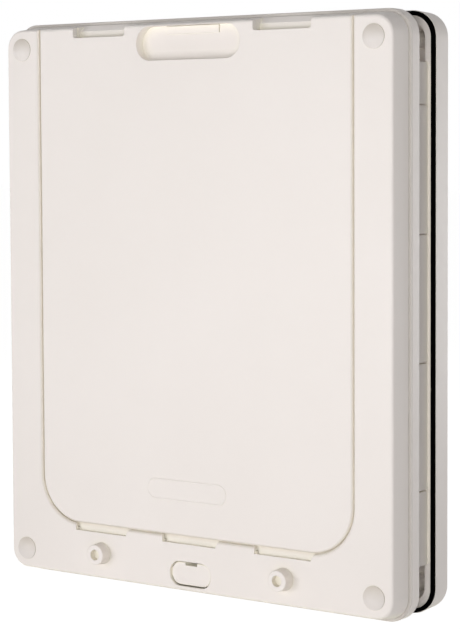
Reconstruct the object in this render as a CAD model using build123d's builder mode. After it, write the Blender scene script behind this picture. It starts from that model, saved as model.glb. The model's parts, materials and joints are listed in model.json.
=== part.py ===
from build123d import *
import os

# Sizes are millimetres. X runs right and Z up as seen from the room, Y runs outdoors.
# The origin is the middle of the cut-out, on the house door's inside face.

# Inside frame: flat front face, flared side wall, crease and rim
face_width = 371.0
face_height = 447.0
face_corner = 15.0
face_edge_round = 2.5
skin = 3.0
inside_depth = 29.5
flare_depth = 19.0
wall_flare = 3.0
rim_outset = 5.5
rim_edge_round = 1.2
crease_width = 0.8
crease_inset = 0.7

# House door that the two frames clamp, and the outside frame
door_thickness = 25.5
outside_depth = 21.0
outside_taper = 0.8
outside_edge_round = 3.0
flange_thickness = 4.0
gasket_thickness = 2.2
gasket_outer_outset = 5.0
gasket_inner_outset = 1.8

# Passage through the inside frame, its collar and the sleeve that lines the cut-out
passage_width = face_width - 79.0
passage_top = face_height / 2 - 45.5
passage_bottom = 47.5 - face_height / 2
passage_corner = 33.0
collar_wall = 2.5
collar_back = 27.0
finger_outset = -2.0
finger_wall = 2.5
finger_front = 25.0
finger_slit = 1.2
finger_half_height = face_height / 2 - 33.5
finger_half_width = face_width / 2 - 33.5
finger_slit_pitch = 97.0
finger_slit_first = -133.0
finger_slit_count = 4
top_slit_pitch = 101.0
sleeve_gap = 0.5
sleeve_wall = 2.5
sleeve_corner = 50.0
sleeve_back = 46.0
rib_wall = 2.0
rib_back = 24.0
side_rib_pitch = face_height / 7
end_rib_outer = passage_width / 2 - 18.0
lower_rib_inner = 48.0
upper_rib_inner = 70.0
tie_pitch = face_height / 7.5
end_tie_pitch = face_width / 6.2
outside_passage_width = face_width - 55.0
outside_passage_top = face_height / 2 - 25.5
outside_passage_bottom = 35.5 - face_height / 2
outside_passage_corner = 36.0
outside_passage_bevel = 2.5

# Closing cover, the seam round it and the groove that holds its tongue
cover_half_width = face_width / 2 - 34.5
cover_bottom = 43.0 - face_height / 2
cover_corner = 38.0
cover_thickness = 5.4
cover_skin = 2.8
cover_edge_round = 3.1
cover_edge_lift = 0.2
seam_gap = 0.7
seam_edge = 1.2
tongue_reach = 4.0
tongue_front = 3.3
groove_gap = 0.6
groove_back = 5.8
floor_back = 9.0
band_wall = 2.9
open_top = face_height / 2 + 96.5
hollow_columns = 4
hollow_rows = 5
hollow_rib = 6.0
hollow_corner = 5.0

# Finger recess, latch tongue and slots along the cover's top edge
recess_width = 100.5
recess_height = 27.0
recess_middle = face_height / 2 - 14.7
recess_depth = 8.5
recess_wall = 2.0
recess_scoop = 7.0
latch_width = 50.0
latch_height = 6.4
latch_proud = 0.8
latch_slit = 0.5
latch_slit_depth = 1.2
top_slot_middle = 88.5
top_slot_width = 53.0
top_slot_bottom = face_height / 2 - 7.9
top_slot_top = top_slot_bottom + 5.8
top_slot_depth = 10.5
top_slot_round = 2.4

# Tabs of the cover behind the frame's lower lip, and the legs that meet the lock knobs
tab_spacing = 89.0
tab_width = 53.0
tab_front = 4.4
tab_back = 6.9
tab_bottom = cover_bottom - 7.1
notch_width = 55.0
notch_bottom = cover_bottom - 6.1
notch_slope = 3.2
leg_width = 20.0
leg_front = 4.9
leg_bottom = cover_bottom - 31.5
key_hole_radius = 5.0
key_slot_width = 5.6

# Lock knobs and their clips
knob_middle = cover_bottom - 22.5
knob_base_radius = 8.9
knob_front_taper = 5.0
knob_proud = 9.8
knob_lift = 0.3
knob_bore_radius = 4.35
knob_bore_depth = 5.0
knob_edge_round = 0.9
journal_radius = 5.0
journal_gap = 0.06
clip_front = 3.3
clip_back = 4.5
clip_radius = 7.5
clip_neck_radius = 4.0
key_radius = 4.5
key_width = 4.8
key_back = 7.3

# Corner screws, their caps and inserts
screw_x = face_width / 2 - 16.0
screw_z = face_height / 2 - 15.9
boss_radius = 7.5
boss_back = 21.0
cap_radius = 9.25
cap_rise = 3.6
cap_rim = 0.6
cap_plug_radius = 5.3
cap_plug_depth = 4.0
head_pocket_radius = 5.6
head_pocket_back = 12.0
head_radius = 4.8
head_height = 3.4
head_edge_round = 1.0
drive_slot_width = 1.2
drive_slot_depth = 1.4
screw_radius = 2.45
screw_hole_radius = 2.8
screw_back = 64.0
post_radius = 6.5
post_front = 47.0
insert_radius = 4.0
insert_bore_radius = 2.5
insert_length = 14.0
post_hole_back = 70.0

# Oval window, magnet cover, magnet carrier and magnets
oval_width = 40.0
oval_height = 20.0
oval_corner = 9.4
oval_middle = cover_bottom - 29.9
oval_plate_edge = 2.6
oval_plate_back = 5.2
oval_pad_gap = 0.9
oval_pad_front = 1.6
oval_pad_round = 1.0
lug_height = 8.0
pry_width = 11.2
pry_height = 2.4
oval_plate_gap = 0.1
carrier_width = 40.0
carrier_back = 26.0
carrier_foot_top = cover_bottom - 9.5
magnet_width = 30.0
magnet_height = 8.0
magnet_thickness = 4.0
magnet_front = 13.5
magnet_seat = 0.1

# Flap, its axle, bearing caps and brushes
hinge_z = passage_top - 10.0
hinge_depth = 17.5
flap_side_gap = 5.0
flap_width = passage_width - 2 * flap_side_gap
flap_bottom = passage_bottom + flap_side_gap
flap_thickness = 5.0
flap_corner = 29.0
flap_border = 13.0
flap_panel_step = 1.0
hem_radius = 5.0
axle_radius = 2.0
axle_end_gap = 1.0
axle_run_gap = 0.05
axle_collar_gap = 1.5
bearing_reach = 9.0
bearing_height = 22.0
bearing_back = 24.5
bearing_wall = 3.0
bearing_edge = 1.5
brush_thickness = 3.0
brush_gap = 0.6
brush_top = hinge_z - 18.0
brush_foot = passage_bottom + 38.0
brush_bottom_width = flap_width - 66.0

# Derived places
rim_front = flare_depth
rim_back = inside_depth
flange_front = inside_depth + door_thickness
outside_back = flange_front + outside_depth
outside_middle = (outside_passage_top + outside_passage_bottom) / 2
outside_height = outside_passage_top - outside_passage_bottom
finger_inner_outset = finger_outset - finger_wall
sleeve_outset = finger_inner_outset - sleeve_gap
sleeve_inner_outset = sleeve_outset - sleeve_wall
sleeve_floor = -face_height / 2 - sleeve_inner_outset
collar_bottom = passage_bottom - collar_wall
groove_half_width = cover_half_width + tongue_reach + groove_gap
groove_bottom = cover_bottom - tongue_reach - groove_gap
hinge_y = hinge_depth - inside_depth
collar_side = passage_width / 2 + collar_wall
axle_half_length = collar_side + bearing_reach - bearing_wall - axle_end_gap


def at_depth(depth):
    """Plane that faces the room, this far behind the front face."""
    return Plane.XZ.offset(inside_depth - depth)


def rounded_block(width, height, corner, front, back, middle=0.0):
    """Rounded rectangle between two depths, centred at this height."""
    with BuildPart() as block:
        with BuildSketch(at_depth(back)):
            with Locations((0, middle)):
                RectangleRounded(width, height, corner)
        extrude(amount=back - front)
    return block.part


def outline_block(outset, front, back):
    """The face's outline, grown by an outset, between two depths."""
    return rounded_block(face_width + 2 * outset, face_height + 2 * outset, face_corner + outset, front, back)


def flared_block(front_outset, back_outset, front, back):
    """The face's outline, growing or shrinking from one depth to another."""
    with BuildPart() as block:
        for outset, depth in ((front_outset, front), (back_outset, back)):
            with BuildSketch(at_depth(depth)):
                RectangleRounded(face_width + 2 * outset, face_height + 2 * outset, face_corner + outset)
        loft(ruled=True)
    return block.part


def passage_block(half_width, bottom, top, corner, front, back):
    """Doorway outline with round lower corners, square at the top for the hinge."""
    with BuildPart() as block:
        with BuildSketch(at_depth(back)) as doorway:
            with Locations((0, (bottom + top) / 2)):
                Rectangle(2 * half_width, top - bottom)
            fillet(doorway.vertices().group_by(Axis.Y)[0], radius=corner)
        extrude(amount=back - front)
    return block.part


def cover_block(half_width, bottom, corner, front, back):
    """The cover's U-shaped outline, running out above the frame."""
    middle = (open_top + bottom) / 2
    return rounded_block(2 * half_width, open_top - bottom, corner, front, back, middle)


def cover_funnel(half_width, bottom, corner):
    """Softened front edge of the space for the cover, wider towards the room."""
    with BuildPart() as block:
        for grow, depth in ((2 * seam_edge, -seam_edge), (0, seam_edge)):
            with BuildSketch(at_depth(depth)):
                with Locations((0, (open_top + bottom) / 2)):
                    RectangleRounded(2 * (half_width + grow), open_top - bottom + 2 * grow, corner + grow)
        loft(ruled=True)
    return block.part


def plain_block(left, right, bottom, top, front, back):
    """Square-edged block between two depths."""
    with BuildPart() as block:
        with BuildSketch(at_depth(back)):
            with Locations(((left + right) / 2, (bottom + top) / 2)):
                Rectangle(right - left, top - bottom)
        extrude(amount=back - front)
    return block.part


def round_blocks(places, radius, front, back):
    """Round blocks at several places between two depths."""
    with BuildPart() as block:
        with BuildSketch(at_depth(back)):
            with Locations(*places):
                Circle(radius)
        extrude(amount=back - front)
    return block.part


def beam_x(y, z, radius, left, right):
    """Round bar along X."""
    with BuildPart() as bar:
        with BuildSketch(Plane.YZ.offset(left)):
            with Locations((y, z)):
                Circle(radius)
        extrude(amount=right - left)
    return bar.part


def section_x(corners, left, right):
    """Block along X with this outline in depth and height."""
    with BuildPart() as block:
        with BuildSketch(Plane.YZ.offset(left)):
            Polygon(*[(depth - inside_depth, z) for depth, z in corners], align=None)
        extrude(amount=right - left)
    return block.part


screw_places = [(x, z) for x in (-screw_x, screw_x) for z in (-screw_z, screw_z)]
knob_places = [(-tab_spacing, knob_middle), (tab_spacing, knob_middle)]
tab_places = (-tab_spacing, 0.0, tab_spacing)
slot_places = (-top_slot_middle, top_slot_middle)

# Front of the inside frame as one solid: the cover's top edge follows it too
with BuildPart() as envelope:
    add(flared_block(0, wall_flare, 0, flare_depth))
    fillet(envelope.faces().sort_by(Axis.Y)[0].outer_wire().edges(), radius=face_edge_round)

# Rim with its small step out from the side wall
with BuildPart() as rim:
    add(outline_block(rim_outset, rim_front, rim_back))
    fillet(rim.faces().sort_by(Axis.Y)[0].outer_wire().edges(), radius=rim_edge_round)

# Fine groove where the side wall meets the rim
with BuildPart() as crease:
    crease_front = flare_depth - crease_width
    add(outline_block(wall_flare + 1, crease_front, flare_depth))
    add(outline_block(wall_flare - crease_inset, crease_front - 1, flare_depth + 1), mode=Mode.SUBTRACT)

# Hollow behind the front face
hollow_outset = wall_flare - skin
with BuildPart() as hollow:
    add(flared_block(-skin, hollow_outset, skin, flare_depth))
    add(outline_block(hollow_outset, flare_depth, rim_back + 1))

# Thickened band round the cover, with the header above the passage
with BuildPart() as band:
    band_half = groove_half_width + band_wall
    band_bottom = groove_bottom - band_wall
    band_corner = cover_corner + band_half - cover_half_width
    add(cover_block(band_half, band_bottom, band_corner, skin / 2, floor_back))
    for slot_x in slot_places:
        pad_half = top_slot_width / 2 + skin
        add(plain_block(slot_x - pad_half, slot_x + pad_half, top_slot_bottom - skin, open_top,
                        skin, top_slot_depth + 2 * skin))
    header_half = recess_width / 2 + recess_wall + 2 * skin
    header_bottom = recess_middle - recess_height / 2 - recess_wall - 2 * skin
    header_back = recess_depth + recess_wall + skin
    add(plain_block(-header_half, header_half, header_bottom, open_top, skin, header_back))
    add(flared_block(-skin / 2, wall_flare - skin / 2, skin / 2, flare_depth), mode=Mode.INTERSECT)

# Sleeve that lines the cut-out, inside the fingers of the outside frame
with BuildPart() as sleeve:
    sleeve_width = face_width + 2 * sleeve_outset
    sleeve_height = face_height + 2 * sleeve_outset
    add(rounded_block(sleeve_width, sleeve_height, sleeve_corner, skin / 2, sleeve_back))
    add(
        rounded_block(sleeve_width - 2 * sleeve_wall, sleeve_height - 2 * sleeve_wall,
                      sleeve_corner - sleeve_wall, 0, sleeve_back + 1),
        mode=Mode.SUBTRACT,
    )

# Space that the cover slides in, with the softened edge of the seam
with BuildPart() as cover_space:
    seam_half = cover_half_width + seam_gap
    seam_bottom = cover_bottom - seam_gap
    seam_corner = cover_corner + seam_gap
    add(cover_block(seam_half, seam_bottom, seam_corner, -1, groove_back))
    add(cover_funnel(seam_half, seam_bottom, seam_corner))
    add(cover_block(groove_half_width, groove_bottom, cover_corner + tongue_reach + groove_gap,
                    skin, groove_back))
    space_half = recess_width / 2 + recess_wall + 2 * groove_gap
    space_bottom = recess_middle - recess_height / 2 - recess_wall - 2 * groove_gap
    space_back = recess_depth + recess_wall + groove_gap
    add(plain_block(-space_half, space_half, space_bottom, open_top, 0, space_back))

# Inside frame
with BuildPart() as inside_frame:
    add(envelope.part)
    add(crease.part, mode=Mode.SUBTRACT)
    add(rim.part)
    add(hollow.part, mode=Mode.SUBTRACT)
    add(band.part)
    add(sleeve.part)
    add(passage_block(collar_side, collar_bottom, passage_top + collar_wall, passage_corner + collar_wall,
                      floor_back - 1, collar_back))
    add(round_blocks(screw_places, boss_radius, skin / 2, boss_back))
    # Ribs between the collar and the sleeve
    rib_depth = rib_back - skin / 2
    rib_y = (rib_back + skin / 2) / 2 - inside_depth
    side_inner = passage_width / 2
    side_outer = face_width / 2 + sleeve_outset - sleeve_wall / 2
    with Locations((0, rib_y, 0)):
        with GridLocations(side_inner + side_outer, 1, 2, 1):
            with Locations(*[(0, 0, step * side_rib_pitch) for step in (-2, -1, 0, 1, 2)]):
                Box(side_outer - side_inner, rib_depth, rib_wall)
    for rib_x in (-end_rib_outer, -lower_rib_inner, lower_rib_inner, end_rib_outer):
        lower = plain_block(rib_x - rib_wall / 2, rib_x + rib_wall / 2, sleeve_floor - sleeve_wall / 2,
                            passage_bottom, skin / 2, rib_back)
        add(lower)
    for rib_x in (-end_rib_outer, -upper_rib_inner, upper_rib_inner, end_rib_outer):
        upper = plain_block(rib_x - rib_wall / 2, rib_x + rib_wall / 2, passage_top,
                            -sleeve_floor + sleeve_wall / 2, skin / 2, rib_back)
        add(upper)
    # Passage and the space for the cover
    add(passage_block(passage_width / 2, passage_bottom, passage_top, passage_corner, -1, collar_back + 1),
        mode=Mode.SUBTRACT)
    add(cover_space.part, mode=Mode.SUBTRACT)
    # Pockets behind the cover's top slots
    for slot_x in slot_places:
        slope_run = open_top - top_slot_top
        pocket_outline = (
            (groove_back - 1, top_slot_bottom),
            (top_slot_depth, top_slot_bottom),
            (top_slot_depth, top_slot_top),
            (top_slot_depth + slope_run, open_top),
            (groove_back - 1, open_top),
        )
        add(section_x(pocket_outline, slot_x - top_slot_width / 2, slot_x + top_slot_width / 2),
            mode=Mode.SUBTRACT)
    # Notches that show the cover's tabs, and the ways that its tabs and legs slide out by
    with BuildSketch(at_depth(skin)):
        with Locations(*[(x, 0) for x in tab_places]):
            Polygon(
                (-notch_width / 2, cover_bottom),
                (-notch_width / 2, notch_bottom),
                (notch_width / 2 - notch_slope, notch_bottom),
                (notch_width / 2, cover_bottom),
                align=None,
            )
    extrude(amount=skin + 1, mode=Mode.SUBTRACT)
    for tab_x in tab_places:
        way_half = tab_width / 2 + groove_gap
        for low, high in ((tab_bottom - groove_gap, passage_bottom + 1), (passage_top - 1, open_top)):
            way = plain_block(tab_x - way_half, tab_x + way_half, low, high, skin, tab_back + groove_gap)
            add(way, mode=Mode.SUBTRACT)
    for knob_x, knob_z in knob_places:
        way_half = leg_width / 2 + groove_gap
        way = plain_block(knob_x - way_half, knob_x + way_half, leg_bottom - groove_gap, tab_bottom,
                          skin, tab_back + groove_gap)
        add(way, mode=Mode.SUBTRACT)
    add(round_blocks(knob_places, journal_radius + journal_gap, -1, skin + 1), mode=Mode.SUBTRACT)
    # Screw pockets and holes
    add(round_blocks(screw_places, head_pocket_radius, -1, head_pocket_back), mode=Mode.SUBTRACT)
    add(round_blocks(screw_places, screw_hole_radius, head_pocket_back - 1, boss_back + 1),
        mode=Mode.SUBTRACT)
    # Oval window, and the pocket behind it for the magnet cover
    pocket_half = oval_width / 2 + oval_plate_edge + oval_plate_gap
    add(plain_block(-pocket_half, pocket_half, oval_middle - oval_height / 2 - oval_plate_gap,
                    oval_middle + oval_height / 2 + oval_plate_gap, skin, oval_plate_back),
        mode=Mode.SUBTRACT)
    add(rounded_block(oval_width, oval_height, oval_corner, -1, skin, oval_middle), mode=Mode.SUBTRACT)
    # Holes that the flap's axle passes through
    add(beam_x(hinge_y, hinge_z, axle_radius + axle_collar_gap, -collar_side - 1, collar_side + 1),
        mode=Mode.SUBTRACT)

# Outside frame with the fingers that line the cut-out
with BuildPart() as outside_frame:
    add(flared_block(rim_outset, rim_outset - outside_taper, flange_front, outside_back))
    fillet(outside_frame.faces().sort_by(Axis.Y)[-1].outer_wire().edges(), radius=outside_edge_round)
    shell_outset = rim_outset - outside_taper - skin
    add(outline_block(shell_outset, flange_front + flange_thickness, outside_back - skin), mode=Mode.SUBTRACT)
    add(outline_block(finger_inner_outset, flange_front - 1, flange_front + flange_thickness + 1),
        mode=Mode.SUBTRACT)
    add(rounded_block(outside_passage_width, outside_height, outside_passage_corner, outside_back - skin - 1,
                      outside_back + 1, outside_middle), mode=Mode.SUBTRACT)
    passage_edge = outside_frame.faces().sort_by(Axis.Y)[-1].inner_wires()[0].edges()
    chamfer(passage_edge, length=outside_passage_bevel)
    # Ribs that tie the flange to the outer face
    tie_depth = outside_depth - flange_thickness - skin + 1
    tie_y = door_thickness + flange_thickness + tie_depth / 2 - 0.5
    tie_reach = shell_outset - finger_inner_outset + 1
    tie_middle = face_width / 2 + finger_inner_outset + tie_reach / 2
    with Locations((0, tie_y, 0)):
        with GridLocations(2 * tie_middle, 1, 2, 1):
            with Locations(*[(0, 0, step * tie_pitch) for step in (-2.5, -1.5, -0.5, 0.5, 1.5, 2.5)]):
                Box(tie_reach, tie_depth, rib_wall)
    for step in (-2, -1, 0, 1, 2):
        tie_x = step * end_tie_pitch
        tie_inner = face_height / 2 + finger_inner_outset
        for low, high in ((tie_inner, tie_inner + tie_reach), (-tie_inner - tie_reach, -tie_inner)):
            add(plain_block(tie_x - rib_wall / 2, tie_x + rib_wall / 2, low, high,
                            flange_front + flange_thickness - 0.5, outside_back - skin + 0.5))
    # Fingers along the four sides, open at the corners
    side_out = face_width / 2 + finger_outset
    end_out = face_height / 2 + finger_outset
    for side in (-1, 1):
        side_edges = sorted((side * side_out, side * (side_out - finger_wall)))
        end_edges = sorted((side * end_out, side * (end_out - finger_wall)))
        add(plain_block(*side_edges, -finger_half_height, finger_half_height, finger_front, flange_front + 1))
        add(plain_block(-finger_half_width, finger_half_width, *end_edges, finger_front, flange_front + 1))
    # Slits between the fingers
    for slit in range(finger_slit_count):
        slit_z = finger_slit_first + slit * finger_slit_pitch
        add(plain_block(-face_width / 2, face_width / 2, slit_z - finger_slit / 2, slit_z + finger_slit / 2,
                        finger_front - 1, flange_front), mode=Mode.SUBTRACT)
    for slit_x in (-top_slit_pitch / 2, top_slit_pitch / 2):
        add(plain_block(slit_x - finger_slit / 2, slit_x + finger_slit / 2, -face_height / 2, face_height / 2,
                        finger_front - 1, flange_front), mode=Mode.SUBTRACT)
    # Posts for the corner screws
    add(round_blocks(screw_places, post_radius, post_front, outside_back - skin + 1))
    add(round_blocks(screw_places, insert_radius, post_front - 1, post_front + insert_length),
        mode=Mode.SUBTRACT)
    add(round_blocks(screw_places, screw_hole_radius, post_front, post_hole_back), mode=Mode.SUBTRACT)

# Foam gasket on the outside flange
with BuildPart() as gasket:
    gasket_front = flange_front - gasket_thickness
    add(outline_block(gasket_outer_outset, gasket_front, flange_front))
    add(outline_block(gasket_inner_outset, gasket_front - 1, flange_front + 1), mode=Mode.SUBTRACT)


def screw_cap(place):
    """Low domed cap with a plug that fits the screw's pocket."""
    dome = cap_rise - cap_rim
    dome_radius = (cap_radius**2 + dome**2) / (2 * dome)
    with BuildPart() as cap:
        add(round_blocks([place], cap_radius, -cap_rise, 0))
        with Locations((place[0], dome_radius - cap_rise - inside_depth, place[1])):
            Sphere(dome_radius, mode=Mode.INTERSECT)
        add(round_blocks([place], cap_plug_radius, 0, cap_plug_depth))
    return cap.part


with BuildPart() as screw_caps:
    for cap_place in screw_places:
        add(screw_cap(cap_place))

# Fixing screws, pan heads with a drive slot
with BuildPart() as fixing_screws:
    head_front = head_pocket_back - head_height
    add(round_blocks(screw_places, head_radius, head_front, head_pocket_back))
    head_edges = fixing_screws.faces().filter_by(Axis.Y).group_by(Axis.Y)[0].edges()
    fillet(head_edges, radius=head_edge_round)
    add(round_blocks(screw_places, screw_radius, head_pocket_back - 1, screw_back))
    slot_y = head_front + drive_slot_depth / 2 - inside_depth
    with Locations(*[(x, slot_y, z) for x, z in screw_places]):
        Box(2 * head_radius, drive_slot_depth, drive_slot_width, mode=Mode.SUBTRACT)

# Threaded inserts in the outside frame's posts
with BuildPart() as screw_inserts:
    add(round_blocks(screw_places, insert_radius, post_front, post_front + insert_length))
    add(round_blocks(screw_places, insert_bore_radius, post_front - 1, post_front + insert_length + 1),
        mode=Mode.SUBTRACT)

# Closing cover: panel, tongue round it, tabs, legs and the dished finger recess
with BuildPart() as cover_panel:
    add(cover_block(cover_half_width, cover_bottom, cover_corner, -cover_edge_lift, cover_thickness))
    fillet(cover_panel.faces().sort_by(Axis.Y)[0].outer_wire().edges(), radius=cover_edge_round)

with BuildPart() as recess_tool:
    with BuildSketch(at_depth(recess_depth)):
        with Locations((0, recess_middle)):
            SlotOverall(recess_width, recess_height)
    extrude(amount=recess_depth + 1)
    # Scooped lower side: the floor curves forward there
    with BuildSketch(Plane.YZ.offset(-recess_width)) as scoop:
        with Locations(((recess_depth - 1) / 2 - inside_depth, recess_middle)):
            Rectangle(recess_depth + 1, recess_height)
        fillet(scoop.vertices().group_by(Axis.X)[-1].sort_by(Axis.Y)[0], radius=recess_scoop)
    extrude(amount=2 * recess_width, mode=Mode.INTERSECT)

with BuildPart() as closing_cover:
    add(cover_panel.part)
    add(cover_block(cover_half_width + tongue_reach, cover_bottom - tongue_reach, cover_corner + tongue_reach,
                    tongue_front, cover_thickness))
    for tab_x in tab_places:
        add(plain_block(tab_x - tab_width / 2, tab_x + tab_width / 2, tab_bottom, cover_bottom,
                        tab_front, tab_back))
    for knob_x, knob_z in knob_places:
        add(plain_block(knob_x - leg_width / 2, knob_x + leg_width / 2, leg_bottom, cover_bottom,
                        leg_front, tab_back))
    dish_half = recess_width / 2 + recess_wall
    dish_bottom = recess_middle - recess_height / 2 - recess_wall
    add(plain_block(-dish_half, dish_half, dish_bottom, open_top, 1, recess_depth + recess_wall))
    add(envelope.part, mode=Mode.INTERSECT)
    # Tongue stays behind the frame's lower lip, so the lip's notches show only the tabs
    for tab_x in tab_places:
        cut_half = notch_width / 2 + 1
        add(plain_block(tab_x - cut_half, tab_x + cut_half, cover_bottom - 2 * tongue_reach, cover_bottom,
                        tongue_front - 1, tab_front), mode=Mode.SUBTRACT)
    # Hollows between the stiffening ribs on the back
    hollow_bottom = cover_bottom + 2 * hollow_rib
    column_pitch = 2 * (cover_half_width - 2 * hollow_rib) / hollow_columns
    row_pitch = (dish_bottom - hollow_rib - hollow_bottom) / hollow_rows
    with BuildSketch(at_depth(cover_thickness + 1)):
        with Locations((0, hollow_bottom + row_pitch * hollow_rows / 2)):
            with GridLocations(column_pitch, row_pitch, hollow_columns, hollow_rows):
                RectangleRounded(column_pitch - hollow_rib, row_pitch - hollow_rib, hollow_corner)
    extrude(amount=cover_thickness + 1 - cover_skin, mode=Mode.SUBTRACT)
    # Finger recess with the latch tongue standing a little proud of its floor
    add(recess_tool.part, mode=Mode.SUBTRACT)
    latch_half = latch_width / 2
    recess_top = recess_middle + recess_height / 2
    latch_bottom = recess_top - latch_height
    slit_back = recess_depth + latch_slit_depth
    add(plain_block(-latch_half, latch_half, latch_bottom, recess_top - latch_slit,
                    recess_depth - latch_proud, recess_depth + recess_wall / 2))
    slit_half = latch_half + latch_slit
    add(plain_block(-slit_half, slit_half, recess_top - latch_slit, recess_top, recess_depth - 1, slit_back),
        mode=Mode.SUBTRACT)
    for side in (-1, 1):
        slit_edges = sorted((side * latch_half, side * slit_half))
        add(plain_block(*slit_edges, latch_bottom, recess_top - latch_slit, recess_depth - 1, slit_back),
            mode=Mode.SUBTRACT)
    # Slots along the top edge, open upwards
    for slot_x in slot_places:
        with BuildSketch(at_depth(cover_thickness + 1)) as top_slot:
            with Locations((slot_x, (top_slot_bottom + open_top) / 2)):
                Rectangle(top_slot_width, open_top - top_slot_bottom)
            fillet(top_slot.vertices().group_by(Axis.Y)[0], radius=top_slot_round)
        extrude(amount=cover_thickness + 2, mode=Mode.SUBTRACT)
    # Keyholes that the lock knobs' keys turn in
    add(round_blocks(knob_places, key_hole_radius, leg_front - 1, tab_back + 1), mode=Mode.SUBTRACT)
    for knob_x, knob_z in knob_places:
        add(plain_block(knob_x - key_slot_width / 2, knob_x + key_slot_width / 2, leg_bottom - 1, knob_z,
                        leg_front - 1, tab_back + 1), mode=Mode.SUBTRACT)


def lock_knob(place):
    """Hollow-fronted knob with its journal, clip neck and flat-sided key."""
    with BuildPart() as knob:
        with BuildSketch(at_depth(-knob_lift)):
            with Locations(place):
                Circle(knob_base_radius)
        extrude(amount=knob_proud - knob_lift, taper=knob_front_taper)
        fillet(knob.faces().sort_by(Axis.Y)[0].edges(), radius=knob_edge_round)
        add(round_blocks([place], knob_bore_radius, -knob_proud - 1, knob_bore_depth - knob_proud),
            mode=Mode.SUBTRACT)
        add(round_blocks([place], journal_radius, -knob_lift, clip_front))
        add(round_blocks([place], clip_neck_radius, clip_front, clip_back))
        with BuildSketch(at_depth(key_back)):
            with Locations(place):
                Circle(key_radius)
                Rectangle(key_width, 2 * key_radius, mode=Mode.INTERSECT)
        extrude(amount=key_back - clip_back)
    return knob.part


def knob_clip(place):
    """Flat spring clip behind the skin, round the knob's neck, open on one side."""
    with BuildPart() as clip:
        add(round_blocks([place], clip_radius, clip_front, clip_back))
        add(round_blocks([place], clip_neck_radius + journal_gap, clip_front - 1, clip_back + 1),
            mode=Mode.SUBTRACT)
        mouth = clip_neck_radius * 0.8
        add(plain_block(place[0] - mouth, place[0] + mouth, place[1], place[1] + 2 * clip_radius,
                        clip_front - 1, clip_back + 1), mode=Mode.SUBTRACT)
    return clip.part


with BuildPart() as lock_knob_left:
    add(lock_knob(knob_places[0]))
with BuildPart() as lock_knob_right:
    add(lock_knob(knob_places[1]))
with BuildPart() as knob_clip_left:
    add(knob_clip(knob_places[0]))
with BuildPart() as knob_clip_right:
    add(knob_clip(knob_places[1]))

# Magnet cover: a pad in the oval window, with two lugs behind the skin and a pry notch at its top edge
with BuildPart() as magnet_cover:
    pad_width = oval_width - 2 * oval_pad_gap
    pad_height = oval_height - 2 * oval_pad_gap
    pad_top = oval_middle + pad_height / 2
    add(rounded_block(pad_width, pad_height, oval_corner - oval_pad_gap, oval_pad_front, oval_plate_back,
                      oval_middle))
    fillet(magnet_cover.faces().sort_by(Axis.Y)[0].edges(), radius=oval_pad_round)
    lug_reach = oval_width / 2 + oval_plate_edge
    add(plain_block(-lug_reach, lug_reach, oval_middle - lug_height / 2, oval_middle + lug_height / 2,
                    skin, oval_plate_back))
    add(plain_block(-pry_width / 2, pry_width / 2, pad_top - pry_height, pad_top + 1,
                    oval_pad_front - 1, oval_plate_back + 1), mode=Mode.SUBTRACT)

# Carrier that holds the frame's magnet up under the collar
magnet_top = collar_bottom - magnet_seat
with BuildPart() as magnet_carrier:
    half = carrier_width / 2
    add(plain_block(-half, half, sleeve_floor, collar_bottom, floor_back, carrier_back))
    add(plain_block(-half, half, sleeve_floor, carrier_foot_top, oval_plate_back, floor_back + 1))
    add(plain_block(-magnet_width / 2 - magnet_seat, magnet_width / 2 + magnet_seat,
                    magnet_top - magnet_height - magnet_seat, collar_bottom + 1, magnet_front - magnet_seat,
                    magnet_front + magnet_height + magnet_seat), mode=Mode.SUBTRACT)
    add(plain_block(-half + skin, half - skin, sleeve_floor + skin, magnet_top - magnet_height - skin,
                    floor_back + skin, carrier_back + 1), mode=Mode.SUBTRACT)
    # Slot that the pry notch opens into
    add(plain_block(-pry_width / 2, pry_width / 2, pad_top - pry_height, pad_top, oval_plate_back - 1,
                    floor_back + skin + 1), mode=Mode.SUBTRACT)

with BuildPart() as frame_magnet:
    add(plain_block(-magnet_width / 2, magnet_width / 2, magnet_top - magnet_height, magnet_top,
                    magnet_front, magnet_front + magnet_height))
    chamfer(frame_magnet.edges().filter_by(Axis.X), length=0.6)

# Flap with a rolled hem round its axle and a thinner middle
flap_front = hinge_depth - flap_thickness / 2
flap_back = hinge_depth + flap_thickness / 2
with BuildPart() as flap:
    with BuildSketch(at_depth(flap_back)) as flap_outline:
        with Locations((0, (hinge_z + flap_bottom) / 2)):
            Rectangle(flap_width, hinge_z - flap_bottom)
        fillet(flap_outline.vertices().group_by(Axis.Y)[0], radius=flap_corner)
    extrude(amount=flap_thickness)
    add(beam_x(hinge_y, hinge_z, hem_radius, -flap_width / 2, flap_width / 2))
    panel_top = hinge_z - flap_border
    panel_height = panel_top - flap_bottom - flap_border
    panel_middle = panel_top - panel_height / 2
    panel_corner = flap_corner - flap_border
    panel_width = flap_width - 2 * flap_border
    panel_front = (flap_front - 1, flap_front + flap_panel_step)
    panel_back = (flap_back - flap_panel_step, flap_back + 1)
    for front, back in (panel_front, panel_back):
        add(rounded_block(panel_width, panel_height, panel_corner, front, back, panel_middle),
            mode=Mode.SUBTRACT)
    add(beam_x(hinge_y, hinge_z, axle_radius, -flap_width, flap_width), mode=Mode.SUBTRACT)
    flap_magnet_low = flap_bottom + 2.0
    seat_half = magnet_width / 2 + magnet_seat
    seat_top = flap_magnet_low + magnet_height + magnet_seat
    add(plain_block(-seat_half, seat_half, flap_magnet_low - magnet_seat, seat_top,
                    flap_back - magnet_thickness, flap_back + 1), mode=Mode.SUBTRACT)

with BuildPart() as flap_magnet:
    add(plain_block(-magnet_width / 2, magnet_width / 2, flap_magnet_low, flap_magnet_low + magnet_height,
                    flap_back - magnet_thickness, flap_back))

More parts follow.
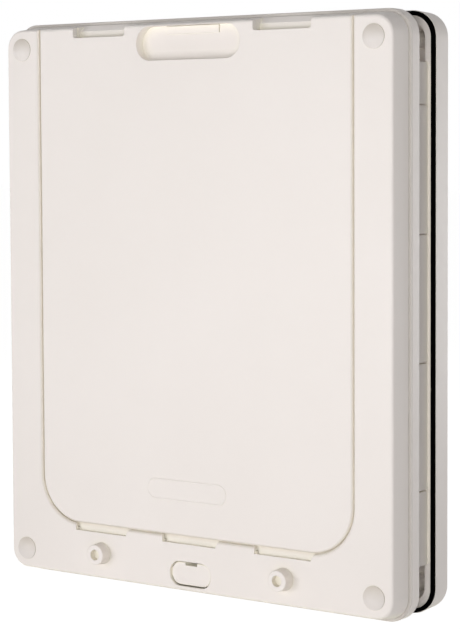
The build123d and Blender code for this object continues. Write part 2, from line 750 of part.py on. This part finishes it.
with BuildPart() as flap_axle:
    add(beam_x(hinge_y, hinge_z, axle_radius, -axle_half_length, axle_half_length))

# Brush strips on the flap's two sides and lower edge
with BuildPart() as flap_brushes:
    brush_front = hinge_depth - brush_thickness / 2
    brush_back = hinge_depth + brush_thickness / 2
    brush_out = passage_width / 2 - brush_gap
    add(plain_block(flap_width / 2, brush_out, brush_foot, brush_top, brush_front, brush_back))
    add(plain_block(-brush_out, -flap_width / 2, brush_foot, brush_top, brush_front, brush_back))
    add(plain_block(-brush_bottom_width / 2, brush_bottom_width / 2, passage_bottom + brush_gap, flap_bottom,
                    brush_front, brush_back))

# Brush strip over the hem, fixed under the top of the collar
with BuildPart() as header_brush:
    add(plain_block(-flap_width / 2 + 2 * flap_border, flap_width / 2 - 2 * flap_border,
                    hinge_z + hem_radius + brush_gap, passage_top, brush_front, brush_back))


def hinge_cap(side):
    """Bearing cap beside the collar that holds one end of the axle."""
    inner = collar_side
    outer = collar_side + bearing_reach
    left, right = sorted((side * inner, side * outer))
    with BuildPart() as cap:
        add(plain_block(left, right, hinge_z - bearing_height / 2, hinge_z + bearing_height / 2,
                        floor_back, bearing_back))
        fillet(cap.faces().sort_by(Axis.Y)[-1].edges(), radius=bearing_edge)
        bore_left, bore_right = sorted((side * (inner - 1), side * (outer - bearing_wall)))
        add(beam_x(hinge_y, hinge_z, axle_radius + axle_run_gap, bore_left, bore_right), mode=Mode.SUBTRACT)
    return cap.part


with BuildPart() as hinge_cap_left:
    add(hinge_cap(-1))
with BuildPart() as hinge_cap_right:
    add(hinge_cap(1))

pieces = {
    "inside_frame": inside_frame,
    "outside_frame": outside_frame,
    "gasket": gasket,
    "screw_caps": screw_caps,
    "fixing_screws": fixing_screws,
    "screw_inserts": screw_inserts,
    "closing_cover": closing_cover,
    "lock_knob_left": lock_knob_left,
    "lock_knob_right": lock_knob_right,
    "knob_clip_left": knob_clip_left,
    "knob_clip_right": knob_clip_right,
    "magnet_cover": magnet_cover,
    "magnet_carrier": magnet_carrier,
    "frame_magnet": frame_magnet,
    "flap": flap,
    "flap_magnet": flap_magnet,
    "flap_axle": flap_axle,
    "flap_brushes": flap_brushes,
    "header_brush": header_brush,
    "hinge_cap_left": hinge_cap_left,
    "hinge_cap_right": hinge_cap_right,
}

os.makedirs("parts", exist_ok=True)
for name, piece in pieces.items():
    piece.part.label = name
    export_step(piece.part, f"parts/{name}.step")
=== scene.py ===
import json
import math
import random

import bmesh
import bpy
from mathutils import Matrix, Vector


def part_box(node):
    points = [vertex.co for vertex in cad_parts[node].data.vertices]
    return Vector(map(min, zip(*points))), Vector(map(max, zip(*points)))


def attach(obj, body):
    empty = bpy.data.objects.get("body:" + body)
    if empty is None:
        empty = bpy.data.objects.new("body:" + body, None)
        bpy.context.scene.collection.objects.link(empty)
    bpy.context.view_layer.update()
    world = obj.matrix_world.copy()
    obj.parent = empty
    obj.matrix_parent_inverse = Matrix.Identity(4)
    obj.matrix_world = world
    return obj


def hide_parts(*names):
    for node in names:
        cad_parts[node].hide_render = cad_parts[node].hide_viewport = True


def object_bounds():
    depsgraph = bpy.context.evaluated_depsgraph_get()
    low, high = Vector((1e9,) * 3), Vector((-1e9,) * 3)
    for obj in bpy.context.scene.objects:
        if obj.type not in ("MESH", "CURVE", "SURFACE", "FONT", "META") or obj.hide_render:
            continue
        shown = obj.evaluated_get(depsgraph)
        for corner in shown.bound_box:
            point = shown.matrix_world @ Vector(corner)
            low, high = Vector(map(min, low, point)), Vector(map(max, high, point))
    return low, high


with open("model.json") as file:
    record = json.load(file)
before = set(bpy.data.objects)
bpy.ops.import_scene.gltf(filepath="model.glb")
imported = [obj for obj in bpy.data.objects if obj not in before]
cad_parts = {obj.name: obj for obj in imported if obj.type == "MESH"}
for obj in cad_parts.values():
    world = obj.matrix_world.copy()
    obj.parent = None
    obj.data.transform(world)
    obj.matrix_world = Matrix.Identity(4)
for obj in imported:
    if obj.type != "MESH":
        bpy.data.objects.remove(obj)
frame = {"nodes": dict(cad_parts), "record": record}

cad_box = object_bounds()
nodes = frame["nodes"]
scene = bpy.context.scene
scene.view_settings.view_transform = "Standard"

# Lengths are in metres, angles in radians, lamp powers in watts and colours in linear RGB.

# Camera solved from the photograph's edges
CAMERA_PLACE = (0.94581, -1.30901, 0.12911)
CAMERA_YAW = 0.616
CAMERA_PITCH = 0.05922
CAMERA_ROLL = -0.00484
CAMERA_FOCAL_PX = 2034.84
IMAGE_LONG_SIDE = 629
AXIS_ABOVE_MIDDLE_PX = 49.5
SENSOR = 36.0

# Light: a weak even world, a glow from the floor, and soft lamps round the object (name, place, size, power)
WORLD_LIGHT = 0.17
WORLD_TINT = (1.0, 0.99, 0.975, 1)
FLOOR_GLOW = 0.18
LAMPS = (
    ("front_right_lamp", (0.80, -1.28, 0.06), 0.5, 8.2),
    ("front_left_lamp", (-0.60, -1.30, -0.14), 0.7, 10.0),
    ("left_lamp", (-1.50, 0.35, 0.10), 0.9, 5.0),
    ("back_lamp", (0.55, 1.35, -0.05), 0.6, 6.6),
    ("top_lamp", (0.20, -0.25, 1.50), 1.0, 2.4),
)

# Floor: its size and drop under the object, how it shows to the camera, and the colour that it bounces
FLOOR_HALF = 12.0
FLOOR_DROP = 0.0005
FLOOR_SHOWN_GLOW = 0.95
FLOOR_SHOWN = (0.25, 0.25, 0.25, 1)
FLOOR_BOUNCE = (0.75, 0.74, 0.73, 1)

# Moulded plastic: frames, cover, corner caps, painted bounce light in hollows, and painted shade in seams,
# creases, caps' rings, caps' upper slopes and knobs' sides
FRAME_LIGHT = (0.865, 0.812, 0.780)
FRAME_DARK = (0.845, 0.792, 0.757)
COVER_LIGHT = (0.870, 0.817, 0.785)
COVER_DARK = (0.850, 0.797, 0.762)
# Painted bounce light: cream tones painted into hollows, the second less bright for the back frame's gap
PAINTED_BOUNCE_LIGHT = (0.930, 0.890, 0.790)
BACK_BOUNCE_LIGHT = (0.880, 0.830, 0.740)
CAP_LIGHT = (0.790, 0.740, 0.710)
CAP_DARK = (0.760, 0.710, 0.680)
# Painted shade: the dark ring painted round each corner cap
CAP_RING_SHADE = (0.450, 0.410, 0.380)
# Painted shade: the colour painted along the cover's seam, on the caps' upper slopes and on the knobs' sides
PAINTED_SHADE = (0.610, 0.540, 0.450)
# Painted shade in the crease behind the front frame's rim
CREASE_SHADE = (0.610, 0.570, 0.535)
# How far in from open surfaces the painted bounce light and the caps' painted shade ring reach
HOLLOW_REACH = 0.012
CAP_RING_SHADE_REACH = 0.004
# Strengths of the painted shade on the caps' upper slopes and on the knobs' sides
CAP_TOP_SHADE = 0.55
KNOB_SIDE_SHADE = 0.4
EDGE_SOFTNESS = 0.0005

# Seam round the cover: its outline, and the painted shade's middle, core and reach
SEAM_HALF = 0.151
SEAM_BOTTOM = -0.1805
SEAM_CORNER = 0.038
SEAM_MIDDLE = 0.0005
SEAM_CORE = 0.0005
SEAM_FADE = 0.0028

# Crease behind the front frame's rim: its depth, and the painted shade's strength, core and reach
CREASE_Y = -0.0105
CREASE_SHADE_STRENGTH = 0.9
CREASE_CORE = 0.0004
CREASE_FADE = 0.0011

# Other materials, and the direction that metal is brushed in
FOAM_CELL = (0.0016, 0.0016, 0.0016)
FOAM_WALL = (0.0004, 0.0004, 0.0004)
STEEL_LIGHT = (0.66, 0.66, 0.67)
STEEL_DARK = (0.55, 0.55, 0.57)
BRASS_LIGHT = (0.78, 0.60, 0.30)
BRASS_DARK = (0.66, 0.49, 0.23)
FERRITE_LIGHT = (0.11, 0.11, 0.115)
FERRITE_DARK = (0.05, 0.05, 0.055)
FLAP_LIGHT = (0.50, 0.48, 0.45)
FLAP_DARK = (0.42, 0.40, 0.37)
BRISTLE_LIGHT = (0.075, 0.074, 0.072)
BRISTLE_DARK = (0.02, 0.02, 0.022)
BRUSHED_ALONG_Y = (1, 0.1, 1)

# Noise scales, in features a metre
CLOUDS = 7.0
MOTTLE = 240.0
GRAIN = 2400.0
FOAM_CELLS = 1500.0
SCRATCHES = 900.0
STAINS = 160.0
SINTER = 1800.0
FLAP_CLOUDS = 14.0
FLAP_RIPPLE = 18.0
STRANDS = 700.0

# Bristles: their spacing, rows and thickness, and how far each strays at its root and tip
BRISTLE_PITCH = 0.0008
BRISTLE_ROWS = (-0.0010, 0.0, 0.0010)
BRISTLE_RADIUS = 0.00022
BRISTLE_TAPER = 0.6
BRISTLE_SIDES = 3
BRISTLE_SHORTEST = 0.86
ROOT_STRAY = 0.0003
TIP_STRAY_ALONG = 0.0004
TIP_STRAY_ACROSS = 0.0002
SIDE_BRUSH_FOOT = 0.0374
BOTTOM_BRUSH_INSET = 0.033

# Plate on the cover: its place, size and profile (inset from its edge and rise over the face)
PLATE_X = -0.0035
PLATE_Z = -0.1445
PLATE_HALF_WIDTH = 0.0390
PLATE_HALF_HEIGHT = 0.0085
PLATE_PROFILE = ((0.0, -0.0004), (0.0, 0.0001), (0.0003, 0.0004), (0.0011, 0.0004), (0.0015, 0.0001))
PLATE_END_STEPS = 12

rng = random.Random(7)


def make_camera():
    """Camera at the photograph's viewing angle."""
    right = Vector((math.cos(CAMERA_YAW), math.sin(CAMERA_YAW), 0))
    ahead = Vector((-math.sin(CAMERA_YAW), math.cos(CAMERA_YAW), 0))
    up = Vector((0, 0, 1))
    forward = math.cos(CAMERA_PITCH) * ahead - math.sin(CAMERA_PITCH) * up
    tilted = math.cos(CAMERA_PITCH) * up + math.sin(CAMERA_PITCH) * ahead
    side = math.cos(CAMERA_ROLL) * right + math.sin(CAMERA_ROLL) * tilted
    top = math.cos(CAMERA_ROLL) * tilted - math.sin(CAMERA_ROLL) * right
    turn = Matrix((side, top, -forward)).transposed().to_4x4()
    data = bpy.data.cameras.new("camera")
    data.sensor_width = SENSOR
    data.lens = CAMERA_FOCAL_PX / IMAGE_LONG_SIDE * SENSOR
    data.shift_y = -AXIS_ABOVE_MIDDLE_PX / IMAGE_LONG_SIDE
    camera = bpy.data.objects.new("camera", data)
    camera.matrix_world = Matrix.Translation(CAMERA_PLACE) @ turn
    scene.collection.objects.link(camera)
    scene.camera = camera


def calculate(tree, operation, first, second=0.0):
    """Result of one sum on values or value outputs."""
    node = tree.nodes.new("ShaderNodeMath")
    node.operation = operation
    for place, value in enumerate((first, second)):
        if isinstance(value, float):
            node.inputs[place].default_value = value
        else:
            tree.links.new(value, node.inputs[place])
    return node.outputs[0]


def seen_as_background(tree):
    """Factor that is 1 for rays that show the background to the camera, gloss or glass."""
    path = tree.nodes.new("ShaderNodeLightPath")
    shown = calculate(tree, "MAXIMUM", path.outputs["Is Camera Ray"], path.outputs["Is Glossy Ray"])
    return calculate(tree, "MAXIMUM", shown, path.outputs["Is Transmission Ray"])


def show_to_camera(tree, light, shown, surface):
    """Links one shader as the light that the object gets, and another as what shows behind it."""
    mix = tree.nodes.new("ShaderNodeMixShader")
    tree.links.new(seen_as_background(tree), mix.inputs["Fac"])
    tree.links.new(light, mix.inputs[1])
    tree.links.new(shown, mix.inputs[2])
    tree.links.new(mix.outputs[0], surface)


def add_glow(tree, shader, strength):
    """Shader with a white glow added."""
    glow = tree.nodes.new("ShaderNodeEmission")
    glow.inputs["Strength"].default_value = strength
    added = tree.nodes.new("ShaderNodeAddShader")
    tree.links.new(shader, added.inputs[0])
    tree.links.new(glow.outputs[0], added.inputs[1])
    return added.outputs[0]


def make_world():
    """Even studio light that shows as white."""
    world = bpy.data.worlds.new("studio")
    scene.world = world
    world.use_nodes = True
    tree = world.node_tree
    light = tree.nodes["Background"]
    light.inputs["Color"].default_value = WORLD_TINT
    light.inputs["Strength"].default_value = WORLD_LIGHT
    white = tree.nodes.new("ShaderNodeBackground")
    white.inputs["Color"].default_value = (1, 1, 1, 1)
    white.inputs["Strength"].default_value = 1.0
    show_to_camera(tree, light.outputs[0], white.outputs[0], tree.nodes["World Output"].inputs["Surface"])


def make_lamp(name, place, size, power):
    """Square soft light at this place, turned to the object."""
    data = bpy.data.lights.new(name, "AREA")
    data.shape = "SQUARE"
    data.size = size
    data.energy = power
    lamp = bpy.data.objects.new(name, data)
    lamp.location = place
    lamp.rotation_mode = "QUATERNION"
    lamp.rotation_quaternion = (-Vector(place)).to_track_quat("-Z", "Y")
    lamp.visible_camera = False
    scene.collection.objects.link(lamp)


def make_floor():
    """Pale floor that keeps a soft shadow and runs into the white background."""
    mesh = bpy.data.meshes.new("floor")
    level = cad_box[0].z - FLOOR_DROP
    corners = ((-1, -1), (1, -1), (1, 1), (-1, 1))
    mesh.from_pydata([(x * FLOOR_HALF, y * FLOOR_HALF, level) for x, y in corners], [], [(0, 1, 2, 3)])
    floor = bpy.data.objects.new("floor", mesh)
    scene.collection.objects.link(floor)
    material = bpy.data.materials.new("floor")
    material.use_nodes = True
    tree = material.node_tree
    shader = tree.nodes["Principled BSDF"]
    shader.inputs["Base Color"].default_value = FLOOR_SHOWN
    shader.inputs["Roughness"].default_value = 0.9
    shader.inputs["Specular IOR Level"].default_value = 0.0
    shown = add_glow(tree, shader.outputs[0], FLOOR_SHOWN_GLOW)
    plain = tree.nodes.new("ShaderNodeBsdfDiffuse")
    plain.inputs["Color"].default_value = FLOOR_BOUNCE
    bounce = add_glow(tree, plain.outputs[0], FLOOR_GLOW)
    show_to_camera(tree, bounce, shown, tree.nodes["Material Output"].inputs["Surface"])
    mesh.materials.append(material)


def start_material(name):
    """New node material with its shader and the object's own coordinates."""
    material = bpy.data.materials.new(name)
    material.use_nodes = True
    tree = material.node_tree
    coords = tree.nodes.new("ShaderNodeTexCoord").outputs["Object"]
    return material, tree, tree.nodes["Principled BSDF"], coords


def noise(tree, coords, scale, detail=2.0, roughness=0.5):
    """Noise value at this scale, in features a metre."""
    node = tree.nodes.new("ShaderNodeTexNoise")
    node.inputs["Scale"].default_value = scale
    node.inputs["Detail"].default_value = detail
    node.inputs["Roughness"].default_value = roughness
    tree.links.new(coords, node.inputs["Vector"])
    return node.outputs["Fac"]


def spread(tree, value, low, high, start=0.3, end=0.7):
    """Value mapped from start and end to a range."""
    node = tree.nodes.new("ShaderNodeMapRange")
    node.inputs["From Min"].default_value = start
    node.inputs["From Max"].default_value = end
    node.inputs["To Min"].default_value = low
    node.inputs["To Max"].default_value = high
    tree.links.new(value, node.inputs["Value"])
    return node.outputs["Result"]


def blend_colour(tree, factor, first, second):
    """Colour between two colours or colour outputs."""
    node = tree.nodes.new("ShaderNodeMix")
    node.data_type = "RGBA"
    tree.links.new(factor, node.inputs["Factor"])
    for name, colour in (("A", first), ("B", second)):
        socket = [s for s in node.inputs if s.name == name and s.type == "RGBA"][0]
        if isinstance(colour, tuple):
            socket.default_value = (*colour, 1)
        else:
            tree.links.new(colour, socket)
    return [s for s in node.outputs if s.type == "RGBA"][0]


def bump(tree, height, strength, distance, normal=None):
    """Normal tipped by a height value, over another normal if given."""
    node = tree.nodes.new("ShaderNodeBump")
    node.inputs["Strength"].default_value = strength
    node.inputs["Distance"].default_value = distance
    tree.links.new(height, node.inputs["Height"])
    if normal is not None:
        tree.links.new(normal, node.inputs["Normal"])
    return node.outputs["Normal"]


def soft_edges(tree, radius):
    """Normal that rounds sharp edges by this radius."""
    node = tree.nodes.new("ShaderNodeBevel")
    node.samples = 6
    node.inputs["Radius"].default_value = radius
    return node.outputs["Normal"]


def openness(tree, reach):
    """1 on open surfaces, falling in hollows narrower than this reach."""
    node = tree.nodes.new("ShaderNodeAmbientOcclusion")
    node.samples = 8
    node.inputs["Distance"].default_value = reach
    return node.outputs["AO"]


def component(tree, vector, axis):
    """One component of a vector output."""
    node = tree.nodes.new("ShaderNodeSeparateXYZ")
    tree.links.new(vector, node.inputs[0])
    return node.outputs[axis]


def surface_normal(tree, axis):
    """One component of the surface's own normal."""
    return component(tree, tree.nodes.new("ShaderNodeNewGeometry").outputs["Normal"], axis)


def seam_closeness(tree, coords):
    """1 along the seam round the cover, falling to 0 a few millimetres from it."""
    from_middle = calculate(tree, "ABSOLUTE", component(tree, coords, "X"))
    out_x = calculate(tree, "SUBTRACT", from_middle, SEAM_HALF - SEAM_CORNER)
    out_z = calculate(tree, "SUBTRACT", SEAM_BOTTOM + SEAM_CORNER, component(tree, coords, "Z"))
    far_x = calculate(tree, "POWER", calculate(tree, "MAXIMUM", out_x, 0.0), 2.0)
    far_z = calculate(tree, "POWER", calculate(tree, "MAXIMUM", out_z, 0.0), 2.0)
    outside = calculate(tree, "SQRT", calculate(tree, "ADD", far_x, far_z))
    inside = calculate(tree, "MINIMUM", calculate(tree, "MAXIMUM", out_x, out_z), 0.0)
    distance = calculate(tree, "SUBTRACT", calculate(tree, "ADD", outside, inside), SEAM_CORNER)
    off_middle = calculate(tree, "ABSOLUTE", calculate(tree, "SUBTRACT", distance, SEAM_MIDDLE))
    return spread(tree, off_middle, 1.0, 0.0, SEAM_CORE, SEAM_FADE)


def crease_shade_mask(tree, coords):
    """Painted shade along the crease behind the front frame's rim, falling to 0 beside it."""
    off_crease = calculate(tree, "SUBTRACT", component(tree, coords, "Y"), CREASE_Y)
    return spread(tree, calculate(tree, "ABSOLUTE", off_crease), CREASE_SHADE_STRENGTH, 0.0, CREASE_CORE, CREASE_FADE)


def moulded_plastic(name, light, dark, painted_hollow_tone, reach=HOLLOW_REACH, seam=False, top_shade=0.0, side_shade=0.0):
    """Satin moulded plastic with a fine spark grain and faint flow clouds, and a tone painted into its
    hollows:
    painted bounce light on frames, cover and knobs, a painted shade ring on the corner caps.

    With seam it has painted shade along the cover's seam and the rim's crease, and it can have painted shade
    on its upper slopes and on its sides.
    """
    material, tree, shader, coords = start_material(name)
    clouds = noise(tree, coords, CLOUDS, 3.0)
    grain = noise(tree, coords, GRAIN)
    mottle = noise(tree, coords, MOTTLE)
    colour = blend_colour(tree, spread(tree, clouds, 0.0, 1.0), dark, light)
    # Hollow tone painted in where ambient occlusion falls: painted bounce light on most parts, a painted shade
    # ring on the caps
    colour = blend_colour(tree, spread(tree, openness(tree, reach), 0.0, 1.0, 0.35, 0.9), painted_hollow_tone, colour)
    # Painted shade along the cover's seam, broken by mottle, and along the rim's crease
    if seam:
        seam_shade = calculate(tree, "MULTIPLY", seam_closeness(tree, coords), spread(tree, mottle, 0.36, 0.48))
        colour = blend_colour(tree, seam_shade, colour, PAINTED_SHADE)
        colour = blend_colour(tree, crease_shade_mask(tree, coords), colour, CREASE_SHADE)
    # Painted shade on slopes that face up
    if top_shade:
        upward = spread(tree, surface_normal(tree, "Z"), 0.0, top_shade, -0.15, 0.5)
        colour = blend_colour(tree, upward, colour, PAINTED_SHADE)
    # Painted shade on the sides, away from the faces along Y
    if side_shade:
        facing = calculate(tree, "ABSOLUTE", surface_normal(tree, "Y"))
        colour = blend_colour(tree, spread(tree, facing, side_shade, 0.0, 0.3, 0.9), colour, PAINTED_SHADE)
    tree.links.new(colour, shader.inputs["Base Color"])
    tree.links.new(spread(tree, mottle, 0.46, 0.56), shader.inputs["Roughness"])
    shader.inputs["Specular IOR Level"].default_value = 0.35
    wavy = bump(tree, mottle, 0.05, 0.0004, soft_edges(tree, EDGE_SOFTNESS))
    tree.links.new(bump(tree, grain, 0.12, 0.00006, wavy), shader.inputs["Normal"])
    return material


def foam():
    """Black closed-cell foam."""
    material, tree, shader, coords = start_material("foam")
    cells = tree.nodes.new("ShaderNodeTexVoronoi")
    cells.inputs["Scale"].default_value = FOAM_CELLS
    tree.links.new(coords, cells.inputs["Vector"])
    from_cell = cells.outputs["Distance"]
    colour = blend_colour(tree, spread(tree, from_cell, 0.0, 1.0, 0.0, 0.7), FOAM_CELL, FOAM_WALL)
    tree.links.new(colour, shader.inputs["Base Color"])
    shader.inputs["Roughness"].default_value = 0.9
    shader.inputs["Specular IOR Level"].default_value = 0.01
    tree.links.new(bump(tree, from_cell, 0.6, 0.0003), shader.inputs["Normal"])
    return material


def metal(name, light, dark, rough_low, rough_high):
    """Turned or plated metal with fine scratches along Y."""
    material, tree, shader, coords = start_material(name)
    stretch = tree.nodes.new("ShaderNodeMapping")
    stretch.inputs["Scale"].default_value = BRUSHED_ALONG_Y
    tree.links.new(coords, stretch.inputs["Vector"])
    scratches = noise(tree, stretch.outputs["Vector"], SCRATCHES, 3.0)
    stains = noise(tree, coords, STAINS, 3.0)
    colour = blend_colour(tree, spread(tree, stains, 0.0, 1.0), dark, light)
    tree.links.new(colour, shader.inputs["Base Color"])
    shader.inputs["Metallic"].default_value = 1.0
    tree.links.new(spread(tree, scratches, rough_low, rough_high), shader.inputs["Roughness"])
    tree.links.new(bump(tree, scratches, 0.15, 0.00005), shader.inputs["Normal"])
    return material


def sintered():
    """Dark ferrite with a rough sintered grain."""
    material, tree, shader, coords = start_material("magnet")
    grain = noise(tree, coords, SINTER, 4.0, 0.7)
    colour = blend_colour(tree, spread(tree, grain, 0.0, 1.0), FERRITE_DARK, FERRITE_LIGHT)
    tree.links.new(colour, shader.inputs["Base Color"])
    shader.inputs["Metallic"].default_value = 0.3
    tree.links.new(spread(tree, grain, 0.45, 0.7), shader.inputs["Roughness"])
    tree.links.new(bump(tree, grain, 0.4, 0.0001), shader.inputs["Normal"])
    return material


def tinted_flap():
    """Smoke-tinted flexible plastic, a little milky."""
    material, tree, shader, coords = start_material("flap_plastic")
    clouds = noise(tree, coords, FLAP_CLOUDS, 3.0)
    ripple = noise(tree, coords, FLAP_RIPPLE, 0.0)
    colour = blend_colour(tree, spread(tree, clouds, 0.0, 1.0), FLAP_DARK, FLAP_LIGHT)
    tree.links.new(colour, shader.inputs["Base Color"])
    tree.links.new(spread(tree, ripple, 0.30, 0.40), shader.inputs["Roughness"])
    shader.inputs["Transmission Weight"].default_value = 0.55
    shader.inputs["IOR"].default_value = 1.47
    tree.links.new(bump(tree, ripple, 0.08, 0.0006), shader.inputs["Normal"])
    return material


def pile():
    """Dark nylon bristle."""
    material, tree, shader, coords = start_material("bristle")
    strands = noise(tree, coords, STRANDS)
    colour = blend_colour(tree, spread(tree, strands, 0.0, 1.0), BRISTLE_DARK, BRISTLE_LIGHT)
    tree.links.new(colour, shader.inputs["Base Color"])
    tree.links.new(spread(tree, strands, 0.5, 0.75), shader.inputs["Roughness"])
    shader.inputs["Sheen Weight"].default_value = 0.3
    return material


# A material for each of the record's slots, and the nodes that have one of their own
slots = {
    "frame_plastic": moulded_plastic("frame_plastic", FRAME_LIGHT, FRAME_DARK, PAINTED_BOUNCE_LIGHT),
    "cover_plastic": moulded_plastic("cover_plastic", COVER_LIGHT, COVER_DARK, PAINTED_BOUNCE_LIGHT),
    "foam": foam(),
    "screw_steel": metal("screw_steel", STEEL_LIGHT, STEEL_DARK, 0.22, 0.4),
    "insert_brass": metal("insert_brass", BRASS_LIGHT, BRASS_DARK, 0.22, 0.38),
    "magnet": sintered(),
    "flap_plastic": tinted_flap(),
    "bristle": pile(),
}
# Nodes with materials of their own, carrying painted shade along seams and creases, on the caps and on the
# knobs' sides, and a less bright painted bounce light on the back frame
toned = {
    "inside_frame": moulded_plastic("frame_front", FRAME_LIGHT, FRAME_DARK, PAINTED_BOUNCE_LIGHT, seam=True),
    "closing_cover": moulded_plastic("cover_front", COVER_LIGHT, COVER_DARK, PAINTED_BOUNCE_LIGHT, seam=True),
    "outside_frame": moulded_plastic("frame_back", FRAME_LIGHT, FRAME_DARK, BACK_BOUNCE_LIGHT),
    "screw_caps": moulded_plastic("cap_plastic", CAP_LIGHT, CAP_DARK, CAP_RING_SHADE, CAP_RING_SHADE_REACH, top_shade=CAP_TOP_SHADE),
}
# Knobs: painted shade on their sides
for side in ("left", "right"):
    toned[f"lock_knob_{side}"] = moulded_plastic(
        f"knob_{side}", COVER_LIGHT, COVER_DARK, PAINTED_BOUNCE_LIGHT, side_shade=KNOB_SIDE_SHADE
    )
for subpart in frame["record"]["subparts"]:
    mesh = nodes[subpart["node"]].data
    mesh.materials.clear()
    mesh.materials.append(toned.get(subpart["node"], slots[subpart["material_slot"]]))


def add_piece(name, mesh, body, slot):
    """Shows a new mesh as a piece that rides on a body."""
    piece = bpy.data.objects.new(name, mesh)
    scene.collection.objects.link(piece)
    mesh.materials.append(slots[slot])
    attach(piece, body)
    return piece


def bristle(mesh, root, tip, along, across):
    """One tapered bristle, closed at its tip."""
    rings = []
    for centre, radius in ((root, BRISTLE_RADIUS), (tip, BRISTLE_RADIUS * BRISTLE_TAPER)):
        ring = []
        for turn in range(BRISTLE_SIDES):
            angle = turn * math.tau / BRISTLE_SIDES
            offset = along * math.cos(angle) * radius + across * math.sin(angle) * radius
            ring.append(mesh.verts.new(centre + offset))
        rings.append(ring)
    foot, end = rings
    for turn in range(BRISTLE_SIDES):
        after = (turn + 1) % BRISTLE_SIDES
        mesh.faces.new((foot[turn], foot[after], end[after], end[turn]))
    mesh.faces.new(end)


def brush(name, strips, body, node):
    """Loose nylon bristles in place of a plain brush strip."""
    mesh = bmesh.new()
    across = Vector((0, 1, 0))
    for start, end, reach in strips:
        start, end, reach = Vector(start), Vector(end), Vector(reach)
        count = int((end - start).length / BRISTLE_PITCH)
        along = (end - start).normalized()
        for step in range(count):
            for row in BRISTLE_ROWS:
                root = start.lerp(end, (step + rng.uniform(0.1, 0.9)) / count)
                root += across * (row + rng.uniform(-ROOT_STRAY, ROOT_STRAY))
                tip = root + reach * rng.uniform(BRISTLE_SHORTEST, 1.0)
                tip += along * rng.uniform(-TIP_STRAY_ALONG, TIP_STRAY_ALONG)
                tip += across * rng.uniform(-TIP_STRAY_ACROSS, TIP_STRAY_ACROSS)
                bristle(mesh, root, tip, along, across)
    data = bpy.data.meshes.new(name)
    mesh.to_mesh(data)
    mesh.free()
    piece = add_piece(name, data, body, "bristle")
    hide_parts(node)


def flap_brush():
    """Bristles down both sides of the flap and along its bottom."""
    low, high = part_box("flap_brushes")
    flap_low, flap_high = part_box("flap")
    y = (low.y + high.y) / 2
    foot = low.z + SIDE_BRUSH_FOOT
    half = (flap_high.x - flap_low.x) / 2 - BOTTOM_BRUSH_INSET
    strips = [
        ((flap_high.x, y, foot), (flap_high.x, y, high.z), (high.x - flap_high.x, 0, 0)),
        ((flap_low.x, y, foot), (flap_low.x, y, high.z), (low.x - flap_low.x, 0, 0)),
        ((-half, y, flap_low.z), (half, y, flap_low.z), (0, 0, low.z - flap_low.z)),
    ]
    brush("flap_bristles", strips, "flap", "flap_brushes")
    return y


def header_brush(y):
    """Bristles that hang from the header, in the flap bristles' plane."""
    low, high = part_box("header_brush")
    strips = [((low.x, y, high.z), (high.x, y, high.z), (0, 0, low.z - high.z))]
    brush("header_bristles", strips, "frame", "header_brush")


def plate_outline(half_width, half_height):
    """Points round a bar with half-round ends, in X and Z."""
    points = []
    for side, first in ((1, -90), (-1, 90)):
        for step in range(PLATE_END_STEPS + 1):
            angle = math.radians(first + 180 * step / PLATE_END_STEPS)
            x = side * (half_width - half_height) + half_height * math.cos(angle)
            points.append((x, half_height * math.sin(angle)))
    return points


def name_plate():
    """Plain raised plate with a low border, where such a cover carries a name."""
    mesh = bmesh.new()
    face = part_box("closing_cover")[0].y
    rings = []
    for inset, proud in PLATE_PROFILE:
        outline = plate_outline(PLATE_HALF_WIDTH - inset, PLATE_HALF_HEIGHT - inset)
        rings.append([mesh.verts.new((PLATE_X + x, face - proud, PLATE_Z + z)) for x, z in outline])
    count = len(rings[0])
    for outer, inner in zip(rings, rings[1:]):
        for step in range(count):
            after = (step + 1) % count
            mesh.faces.new((outer[step], outer[after], inner[after], inner[step]))
    mesh.faces.new(rings[-1])
    mesh.faces.new(list(reversed(rings[0])))
    bmesh.ops.recalc_face_normals(mesh, faces=mesh.faces)
    data = bpy.data.meshes.new("name_plate")
    mesh.to_mesh(data)
    mesh.free()
    add_piece("name_plate", data, "cover", "cover_plastic")


brush_y = flap_brush()
header_brush(brush_y)
name_plate()

make_camera()
make_world()
for lamp in LAMPS:
    make_lamp(*lamp)
make_floor()
